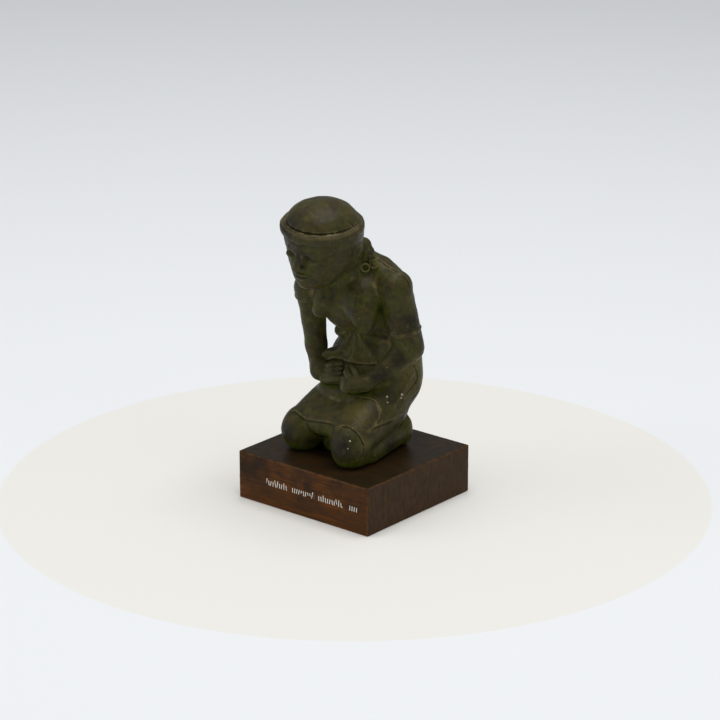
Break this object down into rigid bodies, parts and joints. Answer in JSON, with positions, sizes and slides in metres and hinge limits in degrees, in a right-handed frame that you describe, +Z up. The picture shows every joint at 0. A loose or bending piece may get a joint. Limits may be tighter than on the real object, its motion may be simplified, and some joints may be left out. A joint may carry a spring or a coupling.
{
  "type": "pre-columbian figurine replica",
  "caption": "Small cast figure of a kneeling woman in a rolled cap, hands joined over her lap, on a square stained wooden plinth.",
  "frame": {"origin": "middle of the plinth's underside", "axes": "+Z up, -Y out of the plinth's printed front face, which the figure's face and knees also look over, +X to the figure's left"},
  "size_m": [0.08, 0.0764, 0.1507],
  "materials": {
    "patinated_cast": "pale cast stone and resin, painted as dark green-brown bronze, satin, with small pale chips",
    "stained_wood": "dark brown stained hardwood, thin satin varnish, worn at the edges"
  },
  "bodies": {
    "root": {"kneeling_figure": "patinated_cast", "plinth": "stained_wood"}
  },
  "joints": []
}
